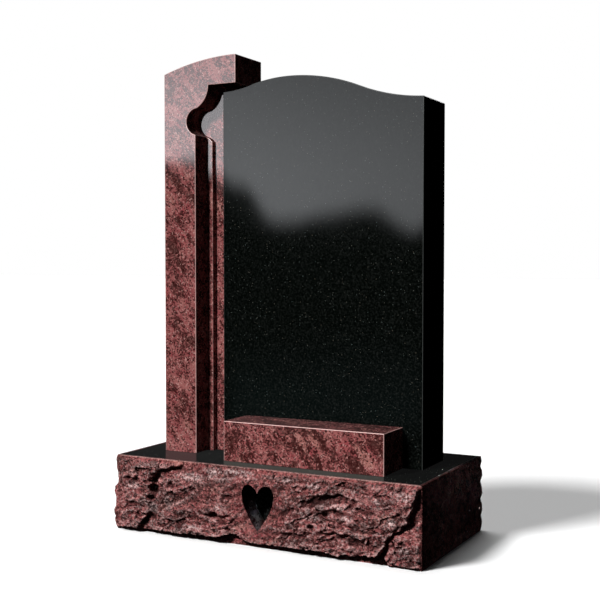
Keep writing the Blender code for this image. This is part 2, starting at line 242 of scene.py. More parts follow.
def serpentine(x):
    if x < CROWN_X:
        return tablet_high.z - drop_from_crown(CROWN_X - x, 0.349, 0.263, 15.6)
    return tablet_high.z - drop_from_crown(x - CROWN_X, 0.4345, 0.4135, 22.3)


tablet_steps = np.linspace(tablet_high.x, tablet_low.x, 94)
tablet_template = [(tablet_low.x, tablet_low.z), (tablet_high.x, tablet_low.z)]
tablet_template += [(x, serpentine(x)) for x in tablet_steps]
tablet = saw_slab("tablet_stone", tablet_template, tablet_low.y, tablet_high.y)
ease_arrises(tablet, ARRIS_WIDTH)

# %% [markdown]
# ## The side pillar
# The pillar is one red stone. Its blank is sawn to an outline with the arm at the upper right and a long flat
# arc on top. Two shapes are then cut out of its front: the opening under the arm, which is a quarter-round, a
# ball and a short fall onto the ledge, and the channel below it, with a small cove, the narrow ledge, a step
# and the wing. The wing stands against the tablet's left side.

# %% Saw the pillar's blank
pillar_low, pillar_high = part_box("side_pillar")
INNER_EDGE = pillar_low.x + 0.080
LEDGE_EDGE = INNER_EDGE + 0.0145
WING_EDGE = LEDGE_EDGE + 0.0247
LEDGE_FACE = pillar_low.y + 0.046
WING_FACE = pillar_low.y + 0.060
UNDER_ARM = pillar_high.z - 0.060
TOP_RADIUS = 0.560

top_centre = (pillar_high.x, pillar_high.z - TOP_RADIUS)
lean = math.degrees(math.asin((pillar_high.x - pillar_low.x) / TOP_RADIUS))
pillar_template = [
    (pillar_low.x, pillar_low.z),
    (WING_EDGE, pillar_low.z),
    (WING_EDGE, UNDER_ARM),
    (pillar_high.x, UNDER_ARM),
] + arc(top_centre, TOP_RADIUS, 90, 90 + lean, 0.5)
pillar = saw_slab("pillar_stone", pillar_template, pillar_low.y, pillar_high.y)
print("pillar template points:", len(pillar_template))

# %% Cut the opening and the channel
ovolo = arc((INNER_EDGE + 0.0326 - 0.053, UNDER_ARM), 0.053, 0, -62.6)
turn_in = math.radians(94.0)
ball_centre = (ovolo[-1][0] - 0.0288 * math.cos(turn_in), ovolo[-1][1] - 0.0288 * math.sin(turn_in))
ball = arc(ball_centre, 0.0288, 94, 258, 4.0)
fall_start = Vector(ball[-1])
fall_end = Vector((LEDGE_EDGE, fall_start.y - 0.012))
fall_middle = (fall_start + fall_end) / 2 + Vector((0.0, 0.0014))
beyond = WING_EDGE + 0.014
opening_template = ovolo + ball[1:] + [tuple(fall_middle), tuple(fall_end), (beyond, fall_end.y), (beyond, UNDER_ARM)]
cut_away(pillar, saw_slab("opening", opening_template, pillar_low.y - 0.03, WING_FACE))

cove = arc((INNER_EDGE + 0.004, LEDGE_FACE - 0.004), 0.004, 180, 90, 10)
channel_template = [(INNER_EDGE, pillar_low.y - 0.05)] + cove + [
    (LEDGE_EDGE, LEDGE_FACE), (LEDGE_EDGE, WING_FACE), (beyond, WING_FACE), (beyond, pillar_low.y - 0.05)]
channel_top = fall_start.y + 0.0144
cut_away(pillar, saw_slab("channel", channel_template, pillar_low.z - 0.01, channel_top, upright=False))
ease_arrises(pillar, ARRIS_WIDTH)

# %% [markdown]
# ## The foot block and the top plate
# The foot block lies in front of the tablet, square and polished on all sides. The plate is let into the base, so
# only its top shows, and its edges get no more than a rub with the pad.

# %% Make the foot block and the plate
foot_low, foot_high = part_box("foot_block")
foot = block("foot_stone", foot_low, foot_high)
ease_arrises(foot, ARRIS_WIDTH)

plate_low, plate_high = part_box("top_plate")
plate = block("plate_stone", plate_low, plate_high)
ease_arrises(plate, 0.0006)

# %% [markdown]
# ## The heart
# The recess goes 40 mm in from the plane of the arrises and has a polished black heart on its floor. Half a heart
# is two cubic curves, from the cleft to the widest place and from there to the tip; the other half mirrors it. One
# template serves twice, once for the recess and once, a hair smaller, for the inlay.

# %% Draw the heart and saw the inlay
HEART_TOP = 0.128
HEART_TIP = 0.034
HEART_HALF = 0.0365


def cubic(a, b, c, d, count):
    """Points on a cubic curve, without the last one."""
    shares = [i / count for i in range(count)]
    return [tuple(p * (1 - t) ** 3 + q * 3 * t * (1 - t) ** 2 + r * 3 * t * t * (1 - t) + s * t ** 3
                  for p, q, r, s in zip(a, b, c, d)) for t in shares]


def heart_template(shrink):
    height = HEART_TOP - HEART_TIP
    widest = (HEART_HALF, HEART_TOP - 0.24 * height)
    tip = (0.0, HEART_TIP)
    half = cubic((0.0, HEART_TOP - 0.017), (0.22 * HEART_HALF, HEART_TOP + 0.045 * height),
                 (HEART_HALF, HEART_TOP + 0.075 * height), widest, 22)
    half += cubic(widest, (HEART_HALF, HEART_TOP - 0.5 * height),
                  (0.42 * HEART_HALF, HEART_TIP + 0.2 * height), tip, 20)
    loop = half + [tip] + [(-x, z) for x, z in reversed(half[1:])]
    middle = 0.5 * (HEART_TOP + HEART_TIP)
    return [(x * (1 - shrink / HEART_HALF), middle + (z - middle) * (1 - 2 * shrink / height)) for x, z in loop]


inlay_low, inlay_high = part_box("heart_inlay")
inlay = saw_slab("heart_stone", heart_template(0.0004), inlay_low.y, inlay_high.y)
ease_arrises(inlay, 0.0004, bed_too=True)

# %% [markdown]
# ## The broken faces of the base
# A rock-pitched face is not carved. The mason sets a wide pitching tool on the line and strikes off the waste, so
# the stone breaks away below a straight arris in shells, steps and crushed spots. It can't be had from a smooth
# swelling with noise on it. Here the four walls are cut into cells of about 2 mm, and each point is moved out by a
# relief that is put together from what a break leaves: large lumps, flat facets, faults where the surface drops
# sharply on one side and comes back slowly, and small chips.

# %% Words for a broken surface
# A fixed seed, so that the stone breaks in the same way each time
noise.seed_set(7)
BASE_HALF_WIDTH = 0.350
BASE_HALF_DEPTH = 0.1725
BASE_HEIGHT = 0.160
FRONT_SWELL = 0.013

# Places on a wall are measured in heights of the base: across from its left end, and up from the ground.
# These lists go up the wall and give the place across, or a width, at each height
CHIP_LINE = [(0.0, 3.70), (0.12, 3.84), (0.24, 3.92), (0.31, 3.96), (0.38, 4.03), (0.46, 4.13), (0.55, 4.21),
             (0.66, 4.26), (0.80, 4.30), (1.0, 4.37)]
GULLY_WIDTH = [(0.0, 0.03), (0.10, 0.05), (0.20, 0.03), (0.31, 0.012), (0.38, 0.02), (0.46, 0.05), (0.55, 0.10),
               (0.66, 0.15), (0.80, 0.13), (0.92, 0.07), (1.0, 0.0)]
SPLIT_LINE = [(0.0, 0.34), (0.13, 0.44), (0.30, 0.56), (0.45, 0.54), (0.58, 0.56), (0.75, 0.61), (0.86, 0.72),
              (0.92, 0.98), (1.0, 1.15)]
# This one goes along the foot and gives the height up to which the shell above overhangs
UNDERCUT = [(0.0, 0.02), (0.30, 0.03), (0.45, 0.02), (0.75, 0.035), (1.00, 0.03), (1.30, 0.045), (1.60, 0.06),
            (1.75, 0.10), (1.88, 0.125), (1.98, 0.05), (2.10, 0.03), (2.60, 0.04), (2.90, 0.05), (3.10, 0.06),
            (3.28, 0.02), (3.40, 0.05), (3.70, 0.075), (3.90, 0.09), (3.96, 0.0), (4.40, 0.0)]


def ease(low, high, value):
    share = np.clip((value - low) / (high - low), 0.0, 1.0)
    return share * share * (3 - 2 * share)


def line_at(line, place):
    return np.interp(place, [at for at, _ in line], [value for _, value in line])


def swelling(across, up, seed, size):
    """Soft unevenness, about -1 to 1."""
    return np.array([noise.noise(Vector((a / size, u / size, seed))) for a, u in zip(across, up)])


def facets(across, up, seed, size, tilt=0.9):
    """Flat shells: each cell of a Voronoi pattern is a plane with its own height and tilt."""
    out = np.empty(len(across))
    for i, (a, u) in enumerate(zip(across, up)):
        place = Vector((a / size, u / size, seed))
        middle = noise.voronoi(place)[1][0]
        lie = noise.noise_vector(middle * 3.7 + Vector((seed, 1.3, 2.9)))
        rest = place - middle
        out[i] = lie.z + tilt * (lie.x * rest.x + lie.y * rest.y)
    return out


def fault(across, up, line, drop, back, sharp=0.02):
    """A step along a line: the side to the right of the line's direction drops and comes back slowly."""
    nearest = np.full(len(across), 9.0)
    side = np.zeros(len(across))
    for (a0, u0), (a1, u1) in zip(line, line[1:]):
        da, du = a1 - a0, u1 - u0
        length2 = da * da + du * du
        t = np.clip(((across - a0) * da + (up - u0) * du) / length2, 0.0, 1.0)
        ea, eu = across - a0 - t * da, up - u0 - t * du
        distance = np.hypot(ea, eu)
        closer = distance < nearest
        nearest = np.where(closer, distance, nearest)
        side = np.where(closer, np.sign(da * eu - du * ea), side)
    ends = ease(0.0, 0.15, np.minimum(np.hypot(across - line[0][0], up - line[0][1]),
                                      np.hypot(across - line[-1][0], up - line[-1][1])))
    away = -side * nearest
    return -drop * ends * ease(-sharp, sharp, away) * (1 - ease(sharp, back, away))


# %% [markdown]
# The front is put together from its own lumps: the split near its left end, the upward slope below the top arris,
# the swelling at the lower left, the stepped shells right of the heart, and the chipped corner at the right with
# a deep gully beside its ridge. The other walls are plainer.

# %% The relief of each wall
FAULTS = [
    # line, drop to its right, how far it takes to come back: steps that lie in shadow
    ([(0.64, 0.83), (0.80, 0.89), (0.98, 0.915), (1.15, 0.955)], 0.40, 0.16),
    ([(0.52, 0.42), (0.56, 0.57), (0.59, 0.74), (0.66, 0.83)], 0.34, 0.13),
    ([(0.32, 0.0), (0.43, 0.13), (0.56, 0.30)], 0.50, 0.16),
    ([(1.44, 0.35), (1.56, 0.40), (1.66, 0.36)], 0.45, 0.12),
    ([(1.70, 0.20), (1.83, 0.33), (1.97, 0.41)], 0.50, 0.16),
    ([(1.18, 0.66), (1.36, 0.70), (1.52, 0.66)], 0.30, 0.14),
    ([(2.40, 0.50), (2.54, 0.535), (2.70, 0.52)], 0.50, 0.13),
    ([(2.70, 0.60), (2.84, 0.67), (3.07, 0.745), (3.32, 0.785), (3.50, 0.77)], 0.44, 0.15),
    ([(2.93, 0.555), (3.15, 0.59), (3.40, 0.63)], 0.34, 0.11),
    ([(2.10, 0.88), (2.32, 0.82), (2.45, 0.74)], 0.16, 0.20),
    ([(3.05, 0.30), (3.30, 0.34), (3.62, 0.30)], 0.32, 0.14),
    ([(2.30, 0.22), (2.60, 0.27), (2.85, 0.22)], 0.32, 0.15),
    ([(0.08, 0.70), (0.25, 0.74), (0.45, 0.72)], 0.30, 0.16),
    ([(0.10, 0.36), (0.26, 0.42), (0.42, 0.40)], 0.26, 0.14),
    # the same with a rise to its right: steps that catch the light
    ([(1.00, 0.93), (1.16, 0.82), (1.32, 0.78), (1.42, 0.86)], -0.50, 0.45),
    ([(1.42, 0.86), (1.58, 0.89), (1.72, 0.84), (2.20, 0.91)], -0.42, 0.40),
    ([(0.60, 0.28), (0.74, 0.33), (0.88, 0.42), (1.15, 0.54), (1.45, 0.60)], -0.36, 0.26),
    ([(1.50, 0.50), (1.66, 0.53), (1.82, 0.47)], -0.40, 0.24),
    ([(0.98, 0.18), (1.30, 0.22), (1.60, 0.19)], -0.36, 0.22),
    ([(2.92, 0.61), (3.14, 0.645), (3.45, 0.70)], -0.42, 0.15),
    ([(3.30, 0.57), (3.42, 0.555), (3.60, 0.475)], -0.46, 0.18),
    ([(3.66, 0.85), (3.80, 0.81), (3.96, 0.75)], -0.45, 0.20),
    ([(3.92, 0.95), (4.10, 0.89), (4.26, 0.76)], -0.40, 0.25),
    ([(3.90, 0.61), (4.01, 0.545), (4.09, 0.45)], -0.38, 0.16),
    ([(3.05, 0.45), (3.30, 0.44), (3.60, 0.38)], -0.30, 0.18),
    ([(2.45, 0.36), (2.70, 0.42), (2.98, 0.42)], -0.32, 0.20),
]
PITS = [(0.61, 0.595, 0.075, 0.8), (0.60, 0.715, 0.055, 0.6), (0.66, 0.775, 0.05, 0.5), (0.55, 0.47, 0.05, 0.5),
        (0.90, 0.67, 0.06, 0.35), (1.23, 0.67, 0.05, 0.30), (1.56, 0.36, 0.06, 0.5), (2.95, 0.36, 0.05, 0.3)]


def front_relief(across, up):
    open_slope = ease(0.9, 1.25, across) * (1 - ease(1.9, 2.4, across))
    top = 1 - ease(0.0, 1.0, (up - (0.955 - 0.15 * open_slope)) / (0.045 + 0.15 * open_slope))
    bottom = ease(0.0, 0.035, up)
    shells = facets(across, up, 3.1, 0.33)
    level = 0.52 + 0.30 * swelling(across, up, 3.1, 0.8) + 0.17 * shells
    past_split = across - line_at(SPLIT_LINE, up)
    level += 0.22 * (1 - ease(-0.03, 0.03, past_split))
    level -= 0.20 * ease(-0.03, 0.03, past_split) * (1 - ease(0.05, 0.36, past_split))
    shelf = 0.34 + 0.45 * np.clip(across - 0.7, 0.0, None)
    lower_lump = ease(0.55, 0.75, across) * (1 - ease(1.5, 2.0, across))
    level += 0.20 * lower_lump * (1 - ease(shelf - 0.05, shelf + 0.05, up))
    level -= 0.20 * (1 - ease(0.2, 0.6, np.abs(across - BASE_HALF_WIDTH / BASE_HEIGHT)))
    ragged_across = across + 0.045 * swelling(across, up, 12.3, 0.10)
    ragged_up = up + 0.035 * swelling(across, up, 15.8, 0.10)
    for line, drop, back in FAULTS:
        level += fault(ragged_across, ragged_up, line, drop, back)
    for a, u, size, depth in PITS:
        level -= depth * (1 - ease(0.3 * size, size, np.hypot((across - a) * 0.7, up - u)))
    # The grain of the break climbs to the right, more so on the right half
    climb = 0.12 + 0.16 * ease(1.8, 2.8, across)
    along = across + climb * up
    bent = up - climb * across + 0.08 * swelling(across, up, 9.1, 0.5)
    level += 0.26 * facets(along, bent * 1.9, 7.7, 0.21, 1.5)
    level += 0.20 * facets(along, bent * 1.8, 5.2, 0.10, 1.6)
    level += 0.11 * facets(along, bent * 1.6, 6.4, 0.048, 1.6)
    from_heart = np.hypot(across - BASE_HALF_WIDTH / BASE_HEIGHT, up - 0.52)
    calm = 0.75 * (1 - ease(0.30, 0.55, from_heart))
    level = level * (1 - calm) + (0.36 + 0.10 * swelling(across, up, 2.2, 0.2)) * calm
    past_chip = ragged_across - line_at(CHIP_LINE, up)
    width = line_at(GULLY_WIDTH, up)
    level += 0.20 * ease(-0.8, -0.05, past_chip)
    beyond_chip = ease(-0.02, 0.03, past_chip)
    gully = beyond_chip * (1 - ease(width, width + 0.05, past_chip)) * ease(0.0, 0.03, width)
    level = level - 0.42 * beyond_chip - 0.62 * gully
    level = np.clip(level, np.where(up > 0.84, -0.20, -0.75), 1.0)
    ends = np.minimum(0.45 + 0.55 * ease(0.0, 0.19, across),
                      0.08 + 0.92 * ease(0.0, 0.05, 2 * BASE_HALF_WIDTH / BASE_HEIGHT - across))
    level = level * np.minimum(top, bottom)
    high = line_at(UNDERCUT, across) + 0.012 * swelling(across, up, 4.4, 0.06)
    undercut = (1 - ease(high, high + 0.03, up)) * ease(0.0, 0.02, line_at(UNDERCUT, across))
    undercut = undercut * ease(0.0, 0.15, across) * ease(0.0, 0.15, 2 * BASE_HALF_WIDTH / BASE_HEIGHT - across)
    return (level * (1 - undercut) - 0.45 * undercut) * ends


def plain_relief(across, up, seed):
    """The back and the sides: shells and small facets between the arrises."""
    level = 0.60 + 0.30 * swelling(across, up, seed, 0.8) + 0.16 * facets(across, up, seed, 0.30)
    level += 0.22 * facets(across, up * 1.4, seed + 4.0, 0.17, 1.5)
    level += 0.12 * facets(across, up * 1.3, seed + 8.0, 0.08, 1.6)
    return level * ease(0.0, 0.05, up) * ease(0.0, 0.04, 1 - up)


# How far two of the upright corners stand out, in mm, at rising heights
LEFT_CORNER = [(0.0, 0.0), (0.04, 0.0), (0.10, 4.6), (0.14, 5.0), (0.17, 2.6), (0.21, 6.4), (0.255, 6.4), (0.31, 1.4),
               (0.43, 0.6), (0.50, 4.6), (0.57, 4.2), (0.61, -2.5), (0.64, -5.0), (0.77, -4.6), (0.82, -0.8), (0.90, 0.4),
               (1.0, 0.0)]
BACK_RIGHT_CORNER = [(0.0, 0.0), (0.05, 1.6), (0.12, 2.9), (0.20, 0.2), (0.28, 3.0), (0.36, 2.3), (0.42, -1.6),
                     (0.50, 3.0), (0.58, 1.8), (0.66, -1.8), (0.74, 3.0), (0.80, 2.2), (0.86, -1.6), (0.93, 1.5),
                     (1.0, 0.0)]

# %% [markdown]
# The walls start as a cube without its top and underside, cut by planes every 20 mm. A subdivision then makes the
# cells ten times finer. That is quicker than hundreds of cuts and keeps the cells square.

# %% Cut the walls into cells
CELL = 0.020
base_low, base_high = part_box("base_block")
base = block("base_stone", (-BASE_HALF_WIDTH, -BASE_HALF_DEPTH, 0.0), (BASE_HALF_WIDTH, BASE_HALF_DEPTH, BASE_HEIGHT))
take_hold(base)
bpy.ops.object.mode_set(mode="EDIT")
work = bmesh.from_edit_mesh(base.data)
for face in work.faces:
    face.select_set(abs(face.normal.z) > 0.5)
bmesh.update_edit_mesh(base.data)
bpy.ops.mesh.delete(type="ONLY_FACE")
for axis, half, start in ((0, BASE_HALF_WIDTH, -BASE_HALF_WIDTH), (1, BASE_HALF_DEPTH, -BASE_HALF_DEPTH),
                          (2, BASE_HEIGHT / 2, 0.0)):
    cells = round(2 * half / CELL)
    for i in range(1, cells):
        centre = [0.0, 0.0, 0.0]
        normal = [0.0, 0.0, 0.0]
        centre[axis] = start + 2 * half * i / cells
        normal[axis] = 1.0
        bpy.ops.mesh.select_all(action="SELECT")
        bpy.ops.mesh.bisect(plane_co=centre, plane_no=normal)
bpy.ops.mesh.select_all(action="SELECT")
bpy.ops.mesh.subdivide(number_cuts=9)
bpy.ops.object.mode_set(mode="OBJECT")
print("cells on the walls:", len(base.data.polygons))

# %% Move the cells out to the broken surface
places = np.empty(len(base.data.vertices) * 3)
base.data.vertices.foreach_get("co", places)
places = places.reshape(-1, 3)
flat_walls = places.copy()
up = places[:, 2] / BASE_HEIGHT
relief = np.zeros(len(places))
walls = (
    # wall, axis, outward sign, place across, swell, seed, share left at its two ends
    ("front", 1, -1, 0, FRONT_SWELL, None, None),
    ("back", 1, 1, 0, 0.009, 11.7, (0.45, 0.45)),
    ("left", 0, -1, 1, 0.011, 23.3, (0.60, 0.45)),
    ("right", 0, 1, 1, 0.006, 37.9, (0.12, 0.60)),
)
for wall, axis, sign, along_axis, swell, seed, ends in walls:
    half = (BASE_HALF_WIDTH, BASE_HALF_DEPTH)[axis]
    long_half = (BASE_HALF_WIDTH, BASE_HALF_DEPTH)[along_axis]
    on_wall = np.abs(flat_walls[:, axis] - sign * half) < 0.00001
    across = (flat_walls[on_wall, along_axis] + long_half) / BASE_HEIGHT
    if wall == "front":
        out = front_relief(across, up[on_wall])
    else:
        out = plain_relief(across, up[on_wall], seed)
        near = 0.030 / BASE_HEIGHT
        far_end = 2 * long_half / BASE_HEIGHT
        out = out * np.minimum(ends[0] + (1 - ends[0]) * ease(0, near, across),
                               ends[1] + (1 - ends[1]) * ease(0, near, far_end - across))
    if wall == "left":
        corner = 1 - ease(0.0, 0.25, across)
        out = out * (1 - corner) + line_at(LEFT_CORNER, up[on_wall]) * 0.001 / swell * corner
    if wall == "right":
        out = out * ease(0.0, 0.30, 1 - up[on_wall])
        corner = 1 - ease(0.0, 0.30, far_end - across)
        out = out * (1 - corner) + line_at(BACK_RIGHT_CORNER, up[on_wall]) * 0.001 / swell * corner
    limit = (base_high if sign > 0 else base_low)[axis] * sign - half
    moved = np.minimum(out * swell, limit)
    places[on_wall, axis] += sign * moved
    relief[on_wall] = np.maximum(relief[on_wall], moved)
    # The neighbouring wall's cells follow the corner, so that its face doesn't fold
    if wall == "left":
        beside = (np.abs(flat_walls[:, 1] + BASE_HALF_DEPTH) < 0.00001) & ~on_wall
        follow = 1 - ease(0.0, 0.16, (flat_walls[beside, 0] + BASE_HALF_WIDTH) / BASE_HEIGHT)
        places[beside, 0] -= line_at(LEFT_CORNER, up[beside]) * 0.001 * follow
    if wall == "right":
        beside = (np.abs(flat_walls[:, 1] - BASE_HALF_DEPTH) < 0.00001) & ~on_wall
        follow = 1 - ease(0.0, 0.16, (BASE_HALF_WIDTH - flat_walls[beside, 0]) / BASE_HEIGHT)
        places[beside, 0] += line_at(BACK_RIGHT_CORNER, up[beside]) * 0.001 * follow
    print(wall, "stands out, mm:", round(moved.max() * 1000, 1), "and goes in:", round(moved.min() * 1000, 1))
base.data.vertices.foreach_set("co", places.ravel())
base.data.update()

# %% [markdown]
# A break leaves its crests crushed and pale, and its hollows get painted shade. Both are found by comparing each
# point's relief with the average around it. The larger pale bruises, where the pitching tool bit, are listed.

# %% Find the crests, the hollows and the bruises
BRUISES = [
    # across, up, half width, half height
    (1.22, 0.82, 0.22, 0.065), (1.54, 0.92, 0.18, 0.045), (1.90, 0.925, 0.28, 0.05), (1.66, 0.47, 0.12, 0.05),
    (1.25, 0.16, 0.18, 0.04), (0.60, 0.35, 0.09, 0.09), (0.85, 0.44, 0.07, 0.05), (3.34, 0.645, 0.16, 0.045),
    (3.44, 0.52, 0.11, 0.045), (3.86, 0.78, 0.12, 0.045), (4.17, 0.85, 0.13, 0.075), (4.02, 0.54, 0.07, 0.06),
    (4.16, 0.22, 0.08, 0.06), (3.40, 0.07, 0.05, 0.05), (2.98, 0.86, 0.14, 0.05), (0.30, 0.62, 0.12, 0.05),
    (2.62, 0.90, 0.10, 0.04), (2.95, 0.47, 0.16, 0.04),
]
edges = np.empty(len(base.data.edges) * 2, dtype=np.int64)
base.data.edges.foreach_get("vertices", edges)
edges = edges.reshape(-1, 2)
both_ways = np.concatenate([edges, edges[:, ::-1]])
neighbours = np.bincount(both_ways[:, 0], minlength=len(places))
average = relief.copy()
crest = np.zeros(len(places))
for step in range(90):
    around = np.bincount(both_ways[:, 0], weights=average[both_ways[:, 1]], minlength=len(places)) / neighbours
    average = 0.4 * average + 0.6 * around
    if step in (11, 89):
        crest += np.clip((relief - average) / (0.0008 if step == 11 else 0.0026), -1.0, 1.0) * 0.65
crest = np.clip(crest, -1.0, 1.0) * ease(0.0, 0.06, up) * ease(0.0, 0.10, 1 - up)

bruise = np.zeros(len(places))
on_front = np.abs(flat_walls[:, 1] + BASE_HALF_DEPTH) < 0.00001
front_across = (flat_walls[:, 0] + BASE_HALF_WIDTH) / BASE_HEIGHT
for a, u, wide, high in BRUISES:
    distance = np.hypot((front_across - a) / wide, (up - u) / high)
    bruise = np.maximum(bruise, np.where(on_front, 1 - ease(0.35, 1.15, distance), 0.0))
# Painted highlight: the top row of the front wall is marked, so the finish can paint the bright line along the top
# arris pale
arris_highlight_line = np.where(on_front, 1 - ease(0.0, 0.012, 1 - up), 0.0)
for name, values in (("crest", np.clip(crest, 0, 1)), ("hollow", np.clip(-crest, 0, 1)), ("bruise", bruise),
                     ("arris", arris_highlight_line)):
    layer = base.data.attributes.new(name, "FLOAT", "POINT")
    layer.data.foreach_set("value", values.astype(np.float32))
print("share of crests:", round(float((crest > 0.5).mean()), 3), "of hollows:", round(float((crest < -0.5).mean()), 3))

# %% [markdown]
# Now the block is closed above and below, the seat of the plate is sunk into its top with a 6 mm rim left around
# it, and the heart is cut into the front. The sawn faces are marked, because they are smooth, and so are the walls
# of the recess. The finish paints both dark: painted shade in the recess and on the right rim, and darker elsewhere.

# %% Close the block, sink the seat and cut the heart
take_hold(base)
bpy.ops.object.mode_set(mode="EDIT")
bpy.ops.mesh.select_all(action="SELECT")
bpy.ops.mesh.fill_holes(sides=0)
bpy.ops.mesh.select_all(action="SELECT")
bpy.ops.mesh.normals_make_consistent(inside=False)
bpy.ops.object.mode_set(mode="OBJECT")
RIM = 0.006
seat_low = (-BASE_HALF_WIDTH + RIM, -BASE_HALF_DEPTH + RIM, plate_low.z - 0.0003)
cut_away(base, block("seat", seat_low, (BASE_HALF_WIDTH - RIM, BASE_HALF_DEPTH - RIM, BASE_HEIGHT + 0.02)))
cut_away(base, saw_slab("recess", heart_template(0.0), -BASE_HALF_DEPTH - 0.03, inlay_high.y + 0.0003))

sawn = []
in_recess = []
for face in base.data.polygons:
    middle = face.center
    level = abs(face.normal.z) > 0.99 and (middle.z < 0.0001 or middle.z > plate_low.z - 0.001)
    inside = abs(middle.x) < BASE_HALF_WIDTH - RIM + 0.0001 and abs(middle.y) < BASE_HALF_DEPTH - RIM + 0.0001
    recess = abs(middle.x) < 0.040 and middle.y < -0.12 and abs(face.normal.y) < 0.02 and 0.03 < middle.z < 0.13
    sawn.append(1.0 if level or inside or recess else 0.0)
    in_recess.append(1.0 if recess else 0.0)
mark_faces(base, "sawn", sawn)
mark_faces(base, "recess", in_recess)
take_hold(base)
bpy.ops.object.shade_smooth_by_angle(angle=math.radians(38))
print("base triangles:", triangles(base), "sawn faces:", int(sum(sawn)), "recess faces:", int(sum(in_recess)))

# %% [markdown]
# ## Building finishes from nodes
# A finish is a small machine of nodes. The helpers below add a node, set its values and wire its inputs, so that
# the finishes can be read from top to bottom. Patterns that more than one stone needs are groups.

# %% Helpers to wire nodes


def add(tree, kind, wires=None, **settings):
    """Adds a node, sets its properties, and fills or wires its inputs by name or number."""
    node = tree.nodes.new(kind)
    node.location = (180 * (len(tree.nodes) % 12), -260 * (len(tree.nodes) // 12))
    for name, value in settings.items():
        setattr(node, name, value)
    for name, value in (wires or {}).items():
        socket = node.inputs[name]
        if isinstance(value, bpy.types.NodeSocket):
            tree.links.new(value, socket)
        else:
            socket.default_value = value
    return node


def blend_colours(tree, share, one, two, mode="MIX"):
    """The second colour over the first by a share."""
    node = add(tree, "ShaderNodeMix", data_type="RGBA", blend_type=mode)
    for number, value in ((0, share), (6, one), (7, two)):
        socket = node.inputs[number]
        if isinstance(value, bpy.types.NodeSocket):
            tree.links.new(value, socket)
        else:
            socket.default_value = value if number == 0 else (*value, 1.0)
    return node.outputs[2]


def calculate(tree, operation, one, two=0.0, clamp=False):
    return add(tree, "ShaderNodeMath", {0: one, 1: two}, operation=operation, use_clamp=clamp).outputs[0]


def between(tree, value, low, high, start=0.0, end=1.0):
    """Maps a range of a value smoothly onto another, and holds it at the ends."""
    wires = {"Value": value, "From Min": low, "From Max": high, "To Min": start, "To Max": end}
    return add(tree, "ShaderNodeMapRange", wires, interpolation_type="SMOOTHSTEP").outputs[0]


def speckle(tree, place, scale, detail=2.0, roughness=0.55, distortion=0.0):
    wires = {"Vector": place, "Scale": scale, "Detail": detail, "Roughness": roughness, "Distortion": distortion}
    return add(tree, "ShaderNodeTexNoise", wires).outputs["Fac"]


def new_group(name, inputs, outputs):
    """A shader node group with named inputs and outputs. Returns the group, its inputs and its output node."""
    group = bpy.data.node_groups.new(name, "ShaderNodeTree")
    for label, kind, value in inputs:
        socket = group.interface.new_socket(name=label, in_out="INPUT", socket_type="NodeSocket" + kind)
        if value is not None:
            socket.default_value = value
    for label, kind in outputs:
        group.interface.new_socket(name=label, in_out="OUTPUT", socket_type="NodeSocket" + kind)
    start = group.nodes.new("NodeGroupInput")
    end = group.nodes.new("NodeGroupOutput")
    return group, start.outputs, end


def use_group(tree, group, wires):
    node = add(tree, "ShaderNodeGroup", node_tree=group)
    for name, value in wires.items():
        if isinstance(value, bpy.types.NodeSocket):
            tree.links.new(value, node.inputs[name])
        else:
            node.inputs[name].default_value = value
    return node.outputs


# %% [markdown]
# ## Red granite
# The red stone is a coarse migmatite: rose and salmon feldspar, dark flecks of mica two to four millimetres
# across, larger brownish clouds where the mica gathers, and now and then a clear feldspar crystal as large as a
# fingernail. Bands lean to one side. Each of these is a layer with its own scale, from the clouds down to the flecks.

# %% The pattern of the red granite
red_pattern, given, result = new_group(
    "red granite pattern",
    [("Place", "Vector", None), ("Cloud Share", "Float", 0.5), ("Fleck Share", "Float", 0.5),
     ("Rose", "Color", (0.27, 0.073, 0.074, 1.0)), ("Salmon", "Color", (0.37, 0.136, 0.125, 1.0)),
     ("Cloud", "Color", (0.096, 0.049, 0.039, 1.0)), ("Fleck", "Color", (0.034, 0.0065, 0.006, 1.0))],
    [("Colour", "Color"), ("Flecks", "Float"), ("Lie of Grains", "Vector")])
tree = red_pattern
leaning = add(tree, "ShaderNodeMapping", {"Vector": given["Place"], "Rotation": (0.0, -0.62, 0.0),
                                          "Scale": (0.62, 0.80, 1.45)}, vector_type="TEXTURE").outputs[0]
zone_shift = calculate(tree, "MULTIPLY", calculate(tree, "SUBTRACT", given["Cloud Share"], 0.5), 0.20)
broad = calculate(tree, "MULTIPLY_ADD", speckle(tree, leaning, 13.0, 2.0, 0.5, 0.3), 0.46)
broad.node.inputs[2].default_value = -0.23
zone = calculate(tree, "ADD", speckle(tree, leaning, 34.0, 6.0, 0.74, 0.5), zone_shift)
zone = calculate(tree, "ADD", zone, broad)
shades = speckle(tree, leaning, 60.0, 5.0, 0.7, 0.3)
ground = blend_colours(tree, between(tree, shades, 0.38, 0.66), given["Rose"], given["Salmon"])
stain = between(tree, speckle(tree, leaning, 38.0, 4.0, 0.65, 0.4), 0.56, 0.68)
ground = blend_colours(tree, calculate(tree, "MULTIPLY", stain, 0.6), ground, (0.33, 0.050, 0.062))
crystals = add(tree, "ShaderNodeTexVoronoi", {"Vector": leaning, "Scale": 42.0, "Randomness": 1.0})
tones = add(tree, "ShaderNodeSeparateColor", {"Color": crystals.outputs["Color"]}).outputs
crystal = between(tree, tones[0], 0.93, 0.98)
crystal_colour = blend_colours(tree, tones[1], (0.42, 0.17, 0.14), (0.46, 0.24, 0.20))
ground = blend_colours(tree, calculate(tree, "MULTIPLY", crystal, 0.45), ground, crystal_colour)
cloud = calculate(tree, "MULTIPLY", between(tree, zone, 0.50, 0.66), calculate(tree, "SUBTRACT", 1.0, crystal))
ground = blend_colours(tree, calculate(tree, "MULTIPLY", cloud, 0.62), ground, given["Cloud"])
stir = add(tree, "ShaderNodeTexNoise", {"Vector": given["Place"], "Scale": 230.0, "Detail": 1.0}).outputs["Color"]
